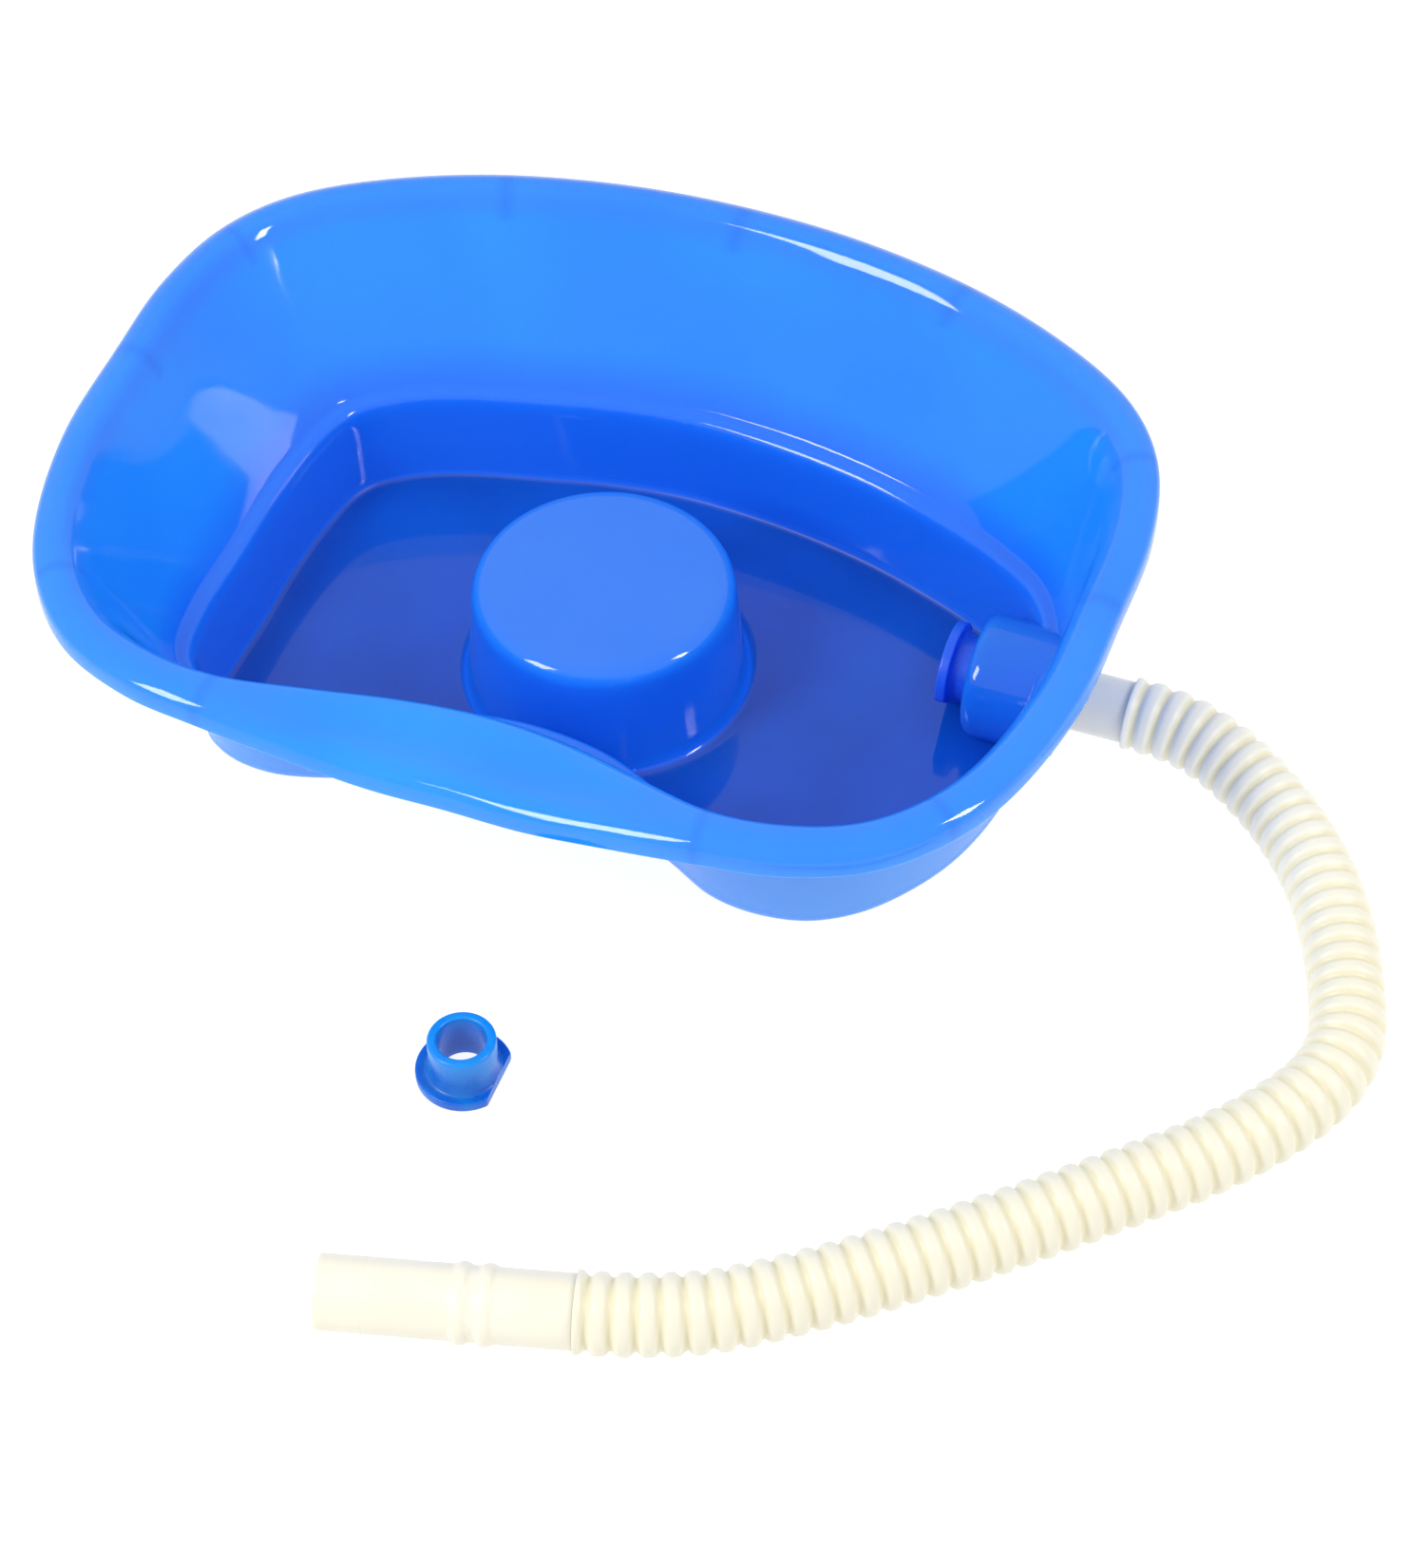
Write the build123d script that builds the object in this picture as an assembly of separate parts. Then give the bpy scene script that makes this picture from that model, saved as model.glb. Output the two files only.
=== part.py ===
from build123d import *
import math
import os

# Bed shampoo basin with drain hose. Millimetres, +Z up, base plane at z = 0.
# +X is the drain end and -Y is the neck-rest side. The parts are drawn about the middle of the
# rim, and at the end move along Y, so that the origin is below the middle of the basin and
# the two bushes together.

os.makedirs("parts", exist_ok=True)

# ---- driving dimensions -------------------------------------------------------------------
RIM_TOP = 132.0          # height of the rolled rim
WALL = 2.5               # moulded wall
FLOOR = 3.0              # floor plate thickness
SKIRT = 14.0             # height of the turned-down rim skirt
LEDGE_TOP = 54.0         # outer edge of the rounded ledge inside
LEDGE_LOW = 43.0         # where the ledge runs over into the lower wall
LEDGE_WIDTH = 9.0
DRAFT = 3.5              # lower wall leans in by this much down to the floor
RIB_THICK = 2.0

# Half outlines from back centre to front centre, as (x, y), with the same station numbers.
RIM_EDGE = [(0, 195), (60, 191), (120, 178), (172, 157), (213, 130), (238, 95), (249, 50),
            (250, 0), (249, -55), (238, -108), (220, -146), (192, -175), (155, -191),
            (118, -196), (78, -196), (38, -195), (0, -194)]
# The lower body is not quite symmetrical: its drain end reaches further out.
DRAIN_END_EDGE = [(0, 116), (48, 113), (92, 105), (130, 93), (161, 80), (188, 62), (203, 34),
                  (207, 0), (204, -36), (193, -70), (172, -101), (148, -119), (122, -125),
                  (96, -122), (70, -109), (37, -95), (0, -90)]
PLAIN_END_EDGE = [(0, 116), (42, 112), (82, 103), (116, 94), (143, 82), (161, 65), (169, 36),
                  (172, 0), (172, -38), (173, -76), (168, -104), (152, -118), (128, -122),
                  (101, -116), (70, -104), (37, -94), (0, -90)]
# The rim is 21 wide; at the neck rest it widens into a saddle and dips.
LIP_WIDTH = [21, 21, 21, 21, 21, 21, 21, 21, 21, 21, 22, 23, 24, 26, 38, 50, 53]
LIP_DIP = [0, 0, 0, 0, 0, 0, 0, 0, 0, 0, 0, 0, 0, 1, 7, 13, 14]
LIP_DISH = [0, 0, 0, 0, 0, 0, 0, 0, 0, 0, 0, 0, 0, 0, 3, 6, 6]
RIB_STATIONS = [0, 2, 5, 7, 10, 13]
FINE_STEPS = 2           # wall sections for each station
HUMP_Y = -6.5
HUMP_TOP = 65.0
HUMP_TOP_R = 62.0
HUMP_BASE_R = 67.0
HUMP_FILLET = 9.0
HUMP_FOOT = 5.0

DRAIN_Y = 30.0
DRAIN_Z = 26.5
BOSS_FACE_X = 174.0
BOSS_R = 30.0
BOSS_FILLET = 7.0
BOSS_END_X = 217.0
BUSH_HOLE_R = 15.65

BUSH_FLANGE_R = 22.0
BUSH_FLANGE_T = 5.0
BUSH_FLAT = 16.8             # axis to the flat cut on the flange
BUSH_FLARE_R = 17.2
BUSH_FLARE_LEN = 4.5
BUSH_TUBE_R = 15.6
BUSH_LEN = 25.0
BUSH_BORE_R = 11.2
BUSH_X = 160.0               # inner face of the fitted bush
FITTED_TURN = 135.0          # turns the flat cut down and towards the neck rest
SPARE_BUSH_AT = (28.0, -253.0)
ORIGIN_SHIFT_Y = 40.0        # from the middle of the rim to the middle of the whole set

CUFF_R = 14.7
CUFF_BORE_R = 12.7
SPIGOT_R = 11.15             # narrower end of the cuff, inside the bush
SPIGOT_BORE_R = 9.3
SPIGOT_LEN = 20.0
CUFF_START_X = 168.0
CUFF_END_X = 250.0

HOSE_R = 17.5                # mean radius between crests and roots
HOSE_BORE_R = 14.0
# Hose centreline, drain end to free end.
HOSE_ROUTE = [(250, 30, 26.5), (272, 30, 26.5), (300, 22, 23), (333, 1, 18.5), (364, -35, 18.5),
              (387, -84, 18.5), (400, -132, 18.5), (370, -184, 18.5), (320, -233, 18.5),
              (266, -283, 18.5), (213, -327, 18.5), (167, -357, 18.5), (128, -367, 18.5)]
END_CUFF_R = 16.5
END_CUFF_BORE_R = 14.5
END_CUFF_LEN = 111.0
BEAD_R = 18.0
BEAD_WIDTH = 7.0
BEADS_AT = (38.0, 49.0)


# ---- basin shell --------------------------------------------------------------------------
def outward(points, i):
    """Unit normal pointing outwards at one station of a half outline."""
    if i == 0:
        return (0.0, 1.0)
    if i == len(points) - 1:
        return (0.0, -1.0)
    dx = points[i + 1][0] - points[i - 1][0]
    dy = points[i + 1][1] - points[i - 1][1]
    length = math.hypot(dx, dy)
    return (-dy / length, dx / length)


def rim_point(i, inset, drop):
    """A point of the rim: inset from the outer edge, dropped from the rim top."""
    x, y = RIM_EDGE[i]
    nx, ny = outward(RIM_EDGE, i)
    return (x - nx * inset, y - ny * inset, RIM_TOP - LIP_DIP[i] - drop)


def body_point(i, edge, outset, z):
    """A point of the lower body: moved out from the ledge line, at height z."""
    x, y = edge[i]
    nx, ny = outward(edge, i)
    return (x + nx * outset, y + ny * outset, z)


def section(i, edge):
    """Closed wall section at one station: over the rim, down the inside, back up outside."""
    width = LIP_WIDTH[i]
    dish = LIP_DISH[i]
    middle = 8 + (width - 16) * 0.5
    return [
        rim_point(i, 0, SKIRT),
        rim_point(i, 0, 7),
        rim_point(i, 3, 2.2),
        rim_point(i, 8, 0),
        rim_point(i, middle, 0.2 + dish),
        rim_point(i, width - 6, 1.2 + dish * 0.5),
        rim_point(i, width, 7),
        body_point(i, edge, LEDGE_WIDTH, LEDGE_TOP),
        body_point(i, edge, LEDGE_WIDTH * 0.4, LEDGE_TOP - 3.5),
        body_point(i, edge, 0, LEDGE_LOW),
        body_point(i, edge, 1 - DRAFT, FLOOR + 6),
        body_point(i, edge, -DRAFT - 6, FLOOR),
        body_point(i, edge, -DRAFT - 6, 0),
        body_point(i, edge, WALL - DRAFT - 1.5, 0),
        body_point(i, edge, WALL - DRAFT + 1, 4),
        body_point(i, edge, WALL, LEDGE_LOW - 1),
        body_point(i, edge, LEDGE_WIDTH * 0.4 + 1.2, LEDGE_TOP - 3.5 - WALL),
        body_point(i, edge, LEDGE_WIDTH + 2, LEDGE_TOP - 2),
        rim_point(i, width - WALL, 9),
        rim_point(i, width - 6.5, 1.2 + WALL + dish * 0.5),
        rim_point(i, middle, 0.2 + WALL + dish),
        rim_point(i, 8.5, WALL),
        rim_point(i, 4.4, 2.2 + WALL * 0.8),
        rim_point(i, WALL, 8),
        rim_point(i, WALL, SKIRT),
    ]


def curve_point(before, start, end, after, t):
    """Point on the smooth curve from start to end (Catmull-Rom), given their neighbours."""
    return tuple(
        b + 0.5 * t * (c - a + t * (2 * a - 5 * b + 4 * c - d + t * (3 * (b - c) + d - a)))
        for a, b, c, d in zip(before, start, end, after))


def fine_sections():
    """Wall sections once round the basin, with smooth lines through all stations."""
    drain_side = [section(i, DRAIN_END_EDGE) for i in range(len(RIM_EDGE))]
    plain_side = [section(i, PLAIN_END_EDGE) for i in range(len(RIM_EDGE))]
    plain_side = [[(-x, y, z) for x, y, z in ring] for ring in plain_side]
    loop = drain_side + plain_side[-2:0:-1]
    count = len(loop)
    wires = []
    for k in range(count):
        around = [loop[(k + shift) % count] for shift in (-1, 0, 1, 2)]
        for step in range(FINE_STEPS):
            ring = [curve_point(*four, step / FINE_STEPS) for four in zip(*around)]
            wires.append(Wire.make_polygon(ring, close=True))
    return wires


def wall():
    """The two halves of the wall, each lofted from back centre to front centre."""
    wires = fine_sections()
    middle = len(wires) // 2
    drain_half = Solid.make_loft(wires[:middle + 1], ruled=True)
    plain_half = Solid.make_loft(wires[middle:] + wires[:1], ruled=True)
    return drain_half, plain_half


def rim_rib(i, side):
    """Gusset between skirt and wall under the rim."""
    width = LIP_WIDTH[i]
    outline = [(1.2, SKIRT - 1), (1.2, 7.5), (3.8, 3.2), (8.2, 1.2), (width - 6.3, 2.4),
               (width - 1.2, 8), (width + 1.0, SKIRT - 1)]
    x, y = RIM_EDGE[i]
    nx, ny = outward(RIM_EDGE, i)
    plane = Plane(origin=(side * x, y, RIM_TOP - LIP_DIP[i]), x_dir=(-side * nx, -ny, 0),
                  z_dir=(side * ny, -nx, 0))
    up = 1 if plane.y_dir.Z > 0 else -1
    flat = [plane.from_local_coords(Vector(inset, -drop * up, 0)) for inset, drop in outline]
    face = Face(Wire.make_polygon(flat, close=True))
    return extrude(face, amount=RIB_THICK / 2, both=True)


def floor_plate():
    loop = [body_point(i, DRAIN_END_EDGE, -DRAFT - 3, 0) for i in range(len(RIM_EDGE))]
    left = [body_point(i, PLAIN_END_EDGE, -DRAFT - 3, 0) for i in range(len(RIM_EDGE))]
    loop += [(-x, y, z) for x, y, z in left[-2:0:-1]]
    steps = [float(k) for k in range(len(loop) + 1)]
    edge = Edge.make_spline([Vector(*p) for p in loop], periodic=True, parameters=steps)
    return extrude(Face(Wire([edge])), amount=FLOOR, dir=(0, 0, 1))


def hump():
    """Hollow head support raised from the floor."""
    top, base = HUMP_TOP_R, HUMP_BASE_R
    with BuildPart() as raised:
        with BuildSketch(Plane.XZ):
            with BuildLine():
                Polyline((0, 0), (base + HUMP_FOOT, 0), (base + HUMP_FOOT, FLOOR),
                         (base, FLOOR + HUMP_FOOT), (top, HUMP_TOP - HUMP_FILLET))
                RadiusArc((top, HUMP_TOP - HUMP_FILLET), (top - HUMP_FILLET, HUMP_TOP), -HUMP_FILLET)
                Polyline((top - HUMP_FILLET, HUMP_TOP), (0, HUMP_TOP), (0, 0))
            make_face()
        revolve(axis=Axis.Z)
    hollow = Cone(base - WALL, top - WALL - 1, HUMP_TOP - WALL,
                  align=(Align.CENTER, Align.CENTER, Align.MIN))
    hollow = hollow - Pos(0, 0, HUMP_TOP - WALL - 8) * (
        Cylinder(100, 20, align=(Align.CENTER, Align.CENTER, Align.MIN))
        - Cone(top - WALL, top - WALL - 9, 8, align=(Align.CENTER, Align.CENTER, Align.MIN)))
    return raised.part, hollow


def drain_boss():
    """Cup standing into the basin from the drain end, open to the outside."""
    length = BOSS_END_X - BOSS_FACE_X
    cup = Cylinder(BOSS_R, length, align=(Align.CENTER, Align.CENTER, Align.MIN))
    cup = fillet(cup.edges().sort_by(Axis.Z)[0], BOSS_FILLET)
    cup = Pos(BOSS_FACE_X, DRAIN_Y, DRAIN_Z) * Rot(0, 90, 0) * cup
    above = Pos(BOSS_FACE_X + 20, DRAIN_Y, 0) * Box(90, 90, 90, align=(Align.CENTER, Align.CENTER, Align.MIN))
    cavity = Cylinder(BOSS_R - WALL, length + 30, align=(Align.CENTER, Align.CENTER, Align.MIN))
    cavity = Pos(BOSS_FACE_X + 3, DRAIN_Y, DRAIN_Z) * Rot(0, 90, 0) * cavity
    raised = Pos(0, 0, WALL) * above
    hole = Cylinder(BUSH_HOLE_R, 12)
    hole = Pos(BOSS_FACE_X, DRAIN_Y, DRAIN_Z) * Rot(0, 90, 0) * hole
    return cup & above, cavity & raised, hole


def basin_shell():
    drain_half, plain_half = wall()
    raised, hollow = hump()
    cup, cavity, hole = drain_boss()
    bottom = Part() + floor_plate() + Pos(0, HUMP_Y, 0) * raised + cup
    bottom = bottom - Pos(0, HUMP_Y, 0) * hollow - cavity - hole
    shell = Part() + (Part() + drain_half - cavity) + plain_half + bottom
    ribs = [rim_rib(i, side) for i in RIB_STATIONS for side in (1, -1) if i > 0 or side > 0]
    return shell + ribs


# ---- drain bush ---------------------------------------------------------------------------
def drain_bush():
    """Rubber bush, flange down on z = 0, flat cut facing -X."""
    flange = Cylinder(BUSH_FLANGE_R, BUSH_FLANGE_T, align=(Align.CENTER, Align.CENTER, Align.MIN))
    cut = Pos(-BUSH_FLAT, 0, 0) * Box(40, 80, 40, align=(Align.MAX, Align.CENTER, Align.CENTER))
    flange = flange - cut
    flange = fillet(flange.edges().filter_by(GeomType.CIRCLE), 1.2)
    flare = Pos(0, 0, BUSH_FLANGE_T) * Cone(BUSH_FLARE_R, BUSH_TUBE_R, BUSH_FLARE_LEN,
                                            align=(Align.CENTER, Align.CENTER, Align.MIN))
    flare = flare - cut
    tube = Cylinder(BUSH_TUBE_R, BUSH_LEN, align=(Align.CENTER, Align.CENTER, Align.MIN))
    tube = fillet(tube.edges().sort_by(Axis.Z)[-1], 1.5)
    bore = Cylinder(BUSH_BORE_R, 3 * BUSH_LEN)
    return flange + flare + tube - bore


# ---- hose ---------------------------------------------------------------------------------
def rod(radius, length):
    return Cylinder(radius, length, align=(Align.CENTER, Align.CENTER, Align.MIN))


def inlet_cuff():
    """Sleeve with a narrower spigot, along +Z from the tip of the spigot."""
    length = CUFF_END_X - CUFF_START_X
    body = rod(SPIGOT_R, length) + Pos(0, 0, SPIGOT_LEN) * rod(CUFF_R, length - SPIGOT_LEN)
    wide_bore = Pos(0, 0, SPIGOT_LEN + CUFF_R - CUFF_BORE_R) * rod(CUFF_BORE_R, length)
    return body - Cylinder(SPIGOT_BORE_R, 3 * length) - wide_bore


def bend_radii(points):
    """Radius for each corner of the route so neighbouring bends never overlap."""
    radii = []
    for a, b, c in zip(points, points[1:], points[2:]):
        into = Vector(*b) - Vector(*a)
        out = Vector(*c) - Vector(*b)
        turn = math.radians(into.get_angle(out))
        shorter = min(into.length, out.length)
        radii.append(0.45 * shorter / math.tan(turn / 2))
    return radii


def drain_hose():
    radii = bend_radii(HOSE_ROUTE)
    print("hose bend radii", [round(r) for r in radii])
    path = FilletPolyline(*HOSE_ROUTE, radius=radii)
    start = Plane(origin=path @ 0, z_dir=path % 0)
    section_face = start * (Circle(HOSE_R) - Circle(HOSE_BORE_R))
    tube = sweep(section_face, path=path)
    area = math.pi * (HOSE_R ** 2 - HOSE_BORE_R ** 2)
    print("hose length", round(path.length, 1), "volume ratio", round(tube.volume / (area * path.length), 4))
    return tube


def outlet_cuff():
    """Plain cuff with two beads, bore open at the free end, along +Z from the hose end."""
    cuff = Cylinder(END_CUFF_R, END_CUFF_LEN, align=(Align.CENTER, Align.CENTER, Align.MIN))
    for at in BEADS_AT:
        bead = Cylinder(BEAD_R, BEAD_WIDTH)
        bead = fillet(bead.edges(), 1.4)
        cuff = cuff + Pos(0, 0, at) * bead
    return cuff - Cylinder(END_CUFF_BORE_R, 3 * END_CUFF_LEN)


def place_on_hose_end(part):
    last_run = Vector(*HOSE_ROUTE[-1]) - Vector(*HOSE_ROUTE[-2])
    return Plane(origin=HOSE_ROUTE[-1], z_dir=last_run) * part


# ---- build and write ----------------------------------------------------------------------
fitted = Pos(BUSH_X, DRAIN_Y, DRAIN_Z) * Rot(0, 90, 0) * Rot(0, 0, FITTED_TURN) * drain_bush()
spare = Pos(SPARE_BUSH_AT[0], SPARE_BUSH_AT[1], 0) * Rot(0, 0, 180) * drain_bush()
inlet = Pos(CUFF_START_X, DRAIN_Y, DRAIN_Z) * Rot(0, 90, 0) * inlet_cuff()

parts = {
    "basin_shell": basin_shell(),
    "drain_bush": fitted,
    "spare_drain_bush": spare,
    "hose_inlet_cuff": inlet,
    "drain_hose": drain_hose(),
    "hose_outlet_cuff": place_on_hose_end(outlet_cuff()),
}
for name, drawn in parts.items():
    part = Pos(0, ORIGIN_SHIFT_Y, 0) * drawn
    solids = part.solids()
    box = part.bounding_box()
    print(name, len(solids), round(part.volume / 1000, 2), "cm3", part.is_valid,
          [round(v, 1) for v in (*box.min, *box.max)])
    export_step(part, f"parts/{name}.step")
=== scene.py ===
# %% [markdown]
# # Bed shampoo basin with drain hose
# A blue moulded basin for washing the hair of someone who lies in bed. The neck rests on the
# dipped front rim, the head on the round support in the middle, and the water leaves through a
# rubber bush into a corrugated hose. The CAD parts are the fixed frame, and each visible piece
# here is a finer surface in the same place.

# %% Load the CAD frame
import math

import bmesh
import bpy
import numpy as np
from mathutils import Matrix, Vector


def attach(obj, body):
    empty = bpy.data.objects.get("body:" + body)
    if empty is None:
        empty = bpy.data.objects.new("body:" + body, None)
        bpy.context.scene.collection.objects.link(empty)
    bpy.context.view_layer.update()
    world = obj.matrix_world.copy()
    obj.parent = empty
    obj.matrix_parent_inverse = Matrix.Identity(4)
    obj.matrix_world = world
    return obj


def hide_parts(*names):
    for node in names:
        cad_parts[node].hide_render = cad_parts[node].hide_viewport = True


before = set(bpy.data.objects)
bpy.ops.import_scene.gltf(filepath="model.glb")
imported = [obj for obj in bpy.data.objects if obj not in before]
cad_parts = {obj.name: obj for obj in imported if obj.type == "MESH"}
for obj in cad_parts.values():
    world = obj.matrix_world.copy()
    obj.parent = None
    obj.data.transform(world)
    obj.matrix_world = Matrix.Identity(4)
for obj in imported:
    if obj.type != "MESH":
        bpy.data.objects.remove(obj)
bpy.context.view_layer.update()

MM = 0.001
CENTRE_Y = 40.0      # the basin is drawn about the middle of its rim, which is at this Y

# %% [markdown]
# ## Camera
# A long lens from the front left, well above the rim, so the whole inside of the basin shows.
# The camera is set by azimuth, elevation, distance and a small roll about the line of sight.

# %% Camera
CAMERA_AZIMUTH = math.radians(21.77)
CAMERA_ELEVATION = math.radians(49.19)
CAMERA_ROLL = math.radians(-1.54)
CAMERA_DISTANCE = 2.367
CAMERA_TARGET = Vector((0.0227, 0.1084, -0.1551))

camera_data = bpy.data.cameras.new("camera")
camera_data.sensor_width = 36.0
camera_data.lens = 105.45
camera_data.clip_end = 50.0
camera = bpy.data.objects.new("camera", camera_data)
bpy.context.scene.collection.objects.link(camera)
bpy.context.scene.camera = camera
back = Vector((math.sin(CAMERA_AZIMUTH) * math.cos(CAMERA_ELEVATION),
               -math.cos(CAMERA_AZIMUTH) * math.cos(CAMERA_ELEVATION),
               math.sin(CAMERA_ELEVATION)))
camera.rotation_mode = "QUATERNION"
camera.rotation_quaternion = (-back).to_track_quat("-Z", "Y") @ Matrix.Rotation(
    CAMERA_ROLL, 3, "Z").to_quaternion()
camera.location = CAMERA_TARGET + back * CAMERA_DISTANCE

# %% [markdown]
# ## Surfaces from arrays
# Every new piece is a grid of points worked out with numpy. A row of the grid is one step along
# the profile, a column one step around the piece. `skin` turns such a grid into faces, wraps the
# columns round, and can also wrap the rows, which closes a tube with an inside and an outside.


# %% From a grid of points to a mesh
def skin(name, grid, wrap_rows=False):
    """Quads between neighbouring rows and columns: face (i, j) joins points (i, j), (i, j+1),
    (i+1, j+1) and (i+1, j). Columns wrap round. If the rows don't wrap, the first and last
    row each close on one point, their mean."""
    rows, columns = grid.shape[:2]
    points = grid.reshape(-1, 3)
    j = np.arange(columns)
    j_next = (j + 1) % columns
    i = np.arange(rows if wrap_rows else rows - 1)[:, None]
    i_next = (i + 1) % rows
    quads = np.stack([i * columns + j, i * columns + j_next,
                      i_next * columns + j_next, i_next * columns + j], axis=-1).reshape(-1, 4)
    loops = [quads.ravel()]
    sizes = [np.full(len(quads), 4)]
    if not wrap_rows:
        first, last = len(points), len(points) + 1
        points = np.vstack([points, grid[0].mean(0), grid[-1].mean(0)])
        start_fan = np.stack([np.full(columns, first), j_next, j], axis=-1)
        end_row = (rows - 1) * columns
        end_fan = np.stack([np.full(columns, last), end_row + j, end_row + j_next], axis=-1)
        loops += [start_fan.ravel(), end_fan.ravel()]
        sizes += [np.full(columns, 3), np.full(columns, 3)]
    return mesh_object(name, points, np.concatenate(loops), np.concatenate(sizes))


def mesh_object(name, points, loops, sizes):
    """A mesh object from points in metres, corner indices and corners per face."""
    mesh = bpy.data.meshes.new(name)
    mesh.vertices.add(len(points))
    mesh.vertices.foreach_set("co", points.astype(np.float32).ravel())
    mesh.loops.add(len(loops))
    mesh.loops.foreach_set("vertex_index", loops.astype(np.int32))
    mesh.polygons.add(len(sizes))
    starts = np.concatenate([[0], np.cumsum(sizes)[:-1]])
    mesh.polygons.foreach_set("loop_start", starts.astype(np.int32))
    mesh.update(calc_edges=True)
    mesh.validate()
    mesh.shade_smooth()
    piece = bpy.data.objects.new(name, mesh)
    bpy.context.scene.collection.objects.link(piece)
    return piece


# %% Rounded profiles
def rounded(rows, radii, arc_steps=5):
    """Rounds the corners of a profile. Each inner row of control points becomes a quadratic
    Bezier arc that starts and ends its radius away along the two straight runs, never past
    their middle; straight runs get two guard rows, so flat faces stay flat in shading."""
    rows = np.asarray(rows, float)
    out = [rows[0]]
    for before, corner, after, radius in zip(rows, rows[1:], rows[2:], radii[1:-1]):
        to_before = before - corner
        to_after = after - corner
        length_before = np.linalg.norm(to_before, axis=-1, keepdims=True)
        length_after = np.linalg.norm(to_after, axis=-1, keepdims=True)
        share_before = np.minimum(radius * MM / np.maximum(length_before, 1e-9), 0.48)
        share_after = np.minimum(radius * MM / np.maximum(length_after, 1e-9), 0.48)
        start = corner + to_before * share_before
        end = corner + to_after * share_after
        out.append(start + to_before * (0.5 - share_before) * 0.2)
        if radius > 0:
            for t in np.linspace(0, 1, arc_steps + 1):
                out.append(start * (1 - t) ** 2 + corner * 2 * t * (1 - t) + end * t ** 2)
        else:
            out.append(corner)
        out.append(end + to_after * (0.5 - share_after) * 0.2)
    out.append(rows[-1])
    return np.stack(out)


def turned(name, profile, radii, origin, axis, around=96, closed=True, flat=None, flat_at=0.0,
           arc_steps=5):
    """A turned shape: profile points (radius, distance along the axis) in mm, carried round
    the axis. With flat, no point reaches further than that from the axis towards flat_at."""
    axis = np.asarray(axis, float) / np.linalg.norm(axis)
    side = np.cross(axis, [0.0, 0.0, 1.0])
    if np.linalg.norm(side) < 1e-6:
        side = np.array([0.0, 1.0, 0.0])
    side /= np.linalg.norm(side)
    up = np.cross(side, axis)
    points = [(r * MM, h * MM) for r, h in profile]
    if closed:
        points = points[-1:] + points + points[:1]
        radii = [0] + list(radii) + [0]
    smooth = rounded(np.array(points)[:, None, :], radii, arc_steps)[:, 0]
    if closed:
        smooth = smooth[1:-1]
    radius, height = smooth[:, :1], smooth[:, 1:]
    angle = np.linspace(0, 2 * np.pi, around, endpoint=False)[None]
    if flat is not None:
        reach = np.maximum(np.cos(angle - flat_at), 1e-3)
        radius = np.minimum(radius, np.where(radius > flat * MM, flat * MM / reach, radius))
        radius = np.broadcast_to(radius, (len(height), around))
    grid = (np.asarray(origin, float) * MM + height[..., None] * axis
            + (radius * np.cos(angle))[..., None] * up
            + (radius * np.sin(angle))[..., None] * side)
    return skin(name, grid, wrap_rows=closed)


def sharpen(piece, angle=38):
    """Smooth shading, apart from edges that turn by more than the angle."""
    piece.data.set_sharp_from_angle(angle=math.radians(angle))


def fix_outwards(piece):
    """Turns the faces outwards where the whole shell came out inside out."""
    shell = bmesh.new()
    shell.from_mesh(piece.data)
    bmesh.ops.recalc_face_normals(shell, faces=shell.faces)
    shell.to_mesh(piece.data)
    shell.free()


def mesh_points(mesh):
    """The vertices of a mesh, one row of x, y, z for each."""
    points = np.empty(len(mesh.vertices) * 3, np.float32)
    mesh.vertices.foreach_get("co", points)
    return points.reshape(-1, 3).astype(float)


def point_attribute(piece, name, values):
    """Stores one number for each vertex, for a material to read by name."""
    attribute = piece.data.attributes.new(name, "FLOAT", "POINT")
    attribute.data.foreach_set("value", values.astype(np.float32))


# %% [markdown]
# ## Hose route
# The drain hose is about 0.6 m of corrugated polyethylene. It leaves the inlet cuff straight,
# sinks to the surface that the basin stands on, and lies there in one wide bow. The spline
# below repeats the CAD route, and the ribs then follow the points read back from it.

# %% Centreline of the hose
HOSE_ROUTE = [(0.250, 0.070, 0.0265), (0.272, 0.070, 0.0265), (0.300, 0.062, 0.023),
              (0.333, 0.041, 0.0185), (0.364, 0.005, 0.0185), (0.387, -0.044, 0.0185),
              (0.400, -0.092, 0.0185), (0.370, -0.144, 0.0185), (0.320, -0.193, 0.0185),
              (0.266, -0.243, 0.0185), (0.213, -0.287, 0.0185), (0.167, -0.317, 0.0185),
              (0.128, -0.327, 0.0185)]

route_curve = bpy.data.curves.new("hose_route", "CURVE")
route_curve.dimensions = "3D"
route_curve.resolution_u = 48
route_spline = route_curve.splines.new("NURBS")
route_spline.points.add(len(HOSE_ROUTE) - 1)
for point, place in zip(route_spline.points, HOSE_ROUTE):
    point.co = (*place, 1.0)
route_spline.order_u = 3
route_spline.use_endpoint_u = True
route_object = bpy.data.objects.new("hose_route", route_curve)
bpy.context.scene.collection.objects.link(route_object)
route_mesh = bpy.data.meshes.new_from_object(route_object)
centreline = mesh_points(route_mesh)
bpy.data.objects.remove(route_object)
along = np.concatenate([[0.0], np.cumsum(np.linalg.norm(np.diff(centreline, axis=0), axis=1))])
hose_length = float(along[-1])
print("hose length", round(hose_length, 4), "m")

# %% [markdown]
# ## Corrugated hose
# One rib is a rounded ridge with a narrow valley, about 10 mm from crest to crest. The radius
# is a function of the distance along the hose, so the whole hose is one surface: outside with
# its ribs, inside with the same wave a wall thickness smaller.

# %% Ribbed hose
RIB_PITCH = 0.0103
CREST_R = (17.2, 18.1)       # at the basin end and at the free end, mm
VALLEY_R = (15.2, 15.5)
HOSE_WALL = 0.9
STEPS_PER_RIB = 14

rib_count = round(hose_length / RIB_PITCH)


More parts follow.
